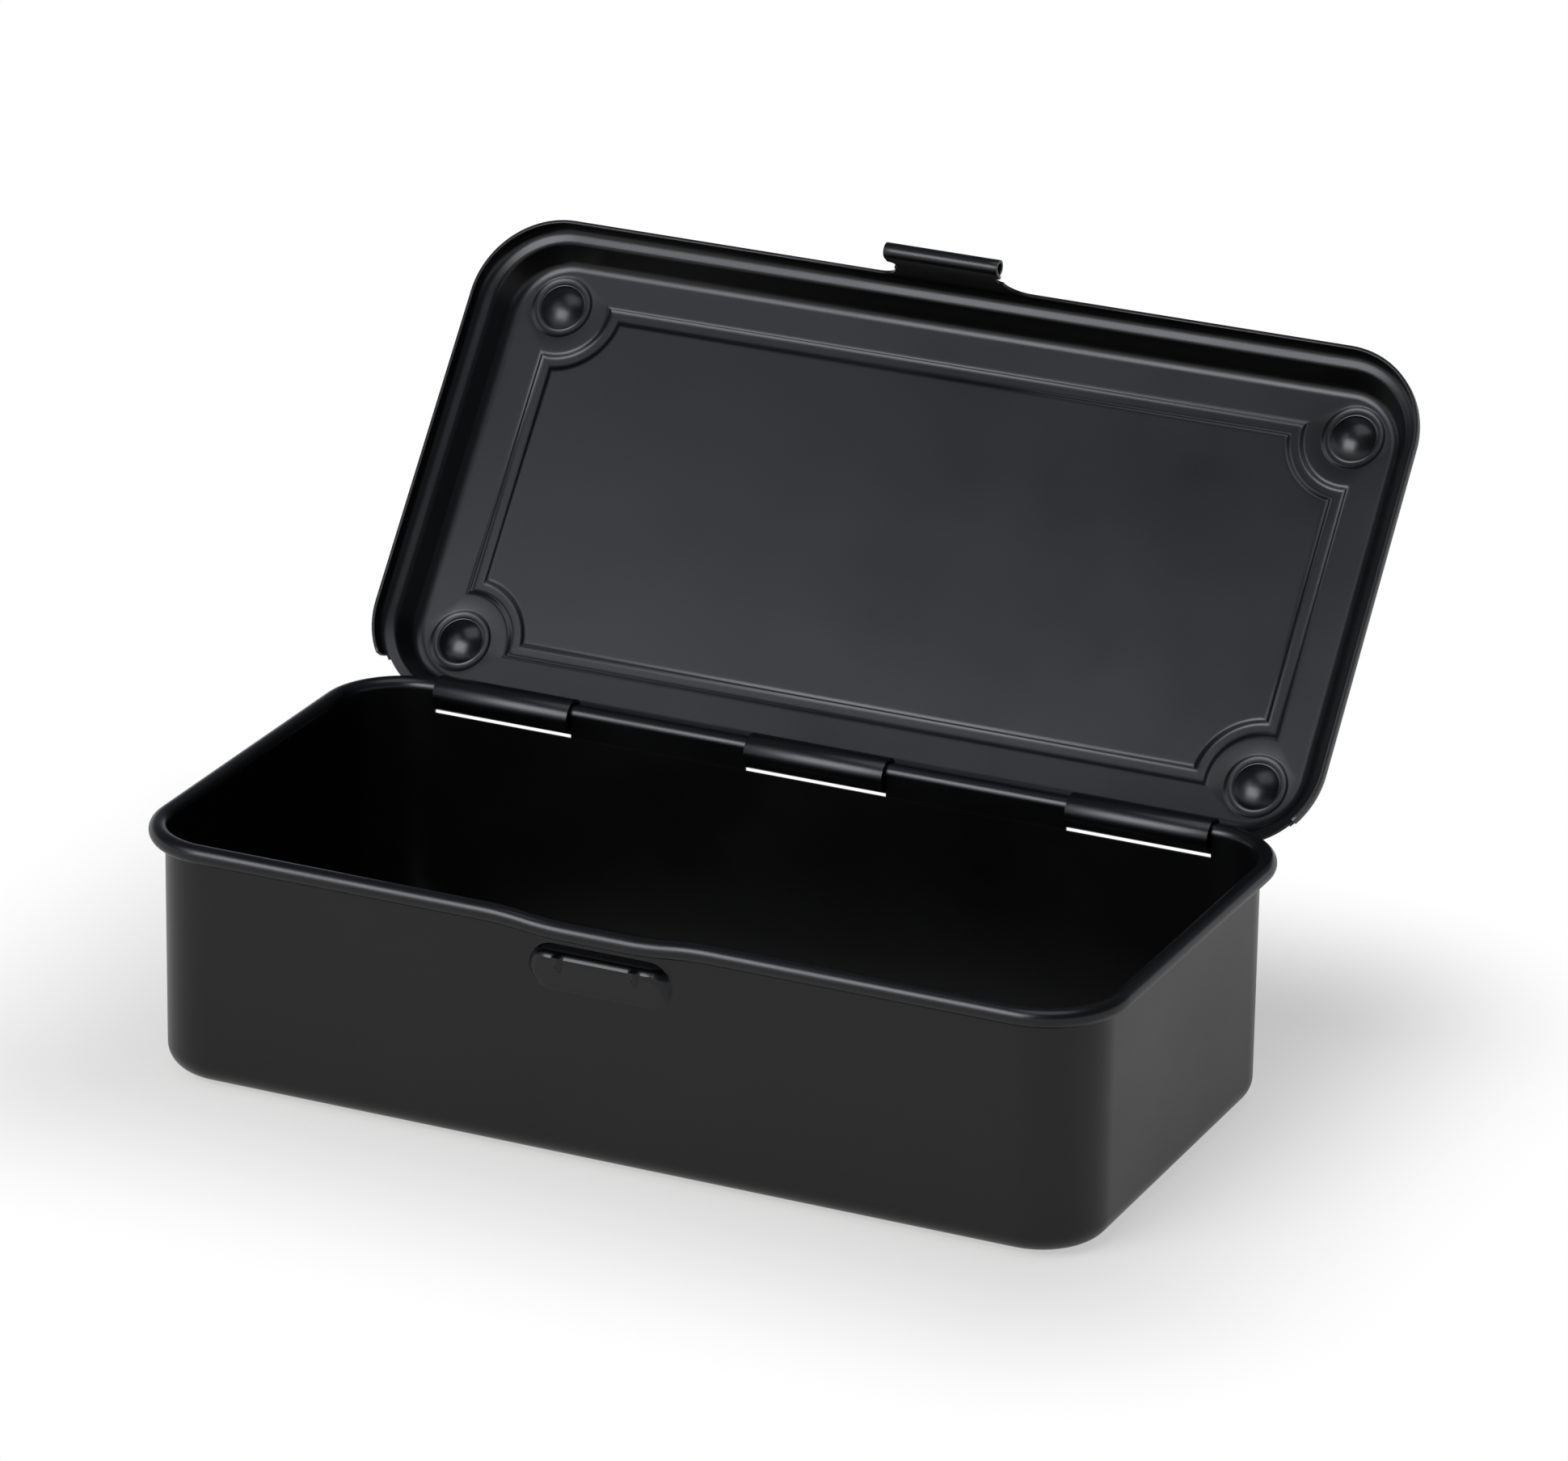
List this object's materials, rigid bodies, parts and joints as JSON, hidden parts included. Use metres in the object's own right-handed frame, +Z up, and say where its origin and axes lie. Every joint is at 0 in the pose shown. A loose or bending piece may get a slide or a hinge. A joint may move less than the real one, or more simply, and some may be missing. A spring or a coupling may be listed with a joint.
{
  "type": "stackable toolbox",
  "caption": "Deep drawn steel box with a hinged lid that turns open on its rolled rim, a curled front hasp and lid sockets for stacking.",
  "frame": {"origin": "centre of the tray's flat underside; the four pressed feet stand 0.8 mm below it", "axes": "+X to the right along the box's width, -Y to the front with the catch, +Z up"},
  "size_m": [0.203, 0.164, 0.137],
  "materials": {
    "tray_paint": "satin black stoved paint",
    "lid_paint": "satin black stoved paint"
  },
  "bodies": {
    "tray_body": {"tray": "tray_paint"},
    "lid_body": {"lid": "lid_paint"}
  },
  "joints": [
    {"name": "lid_hinge", "type": "hinge", "parent": "tray_body", "child": "lid_body", "pos_m": [0, 0.04873, 0.04833], "axis": [1, 0, 0], "range_deg": [0, 128.4]}
  ]
}
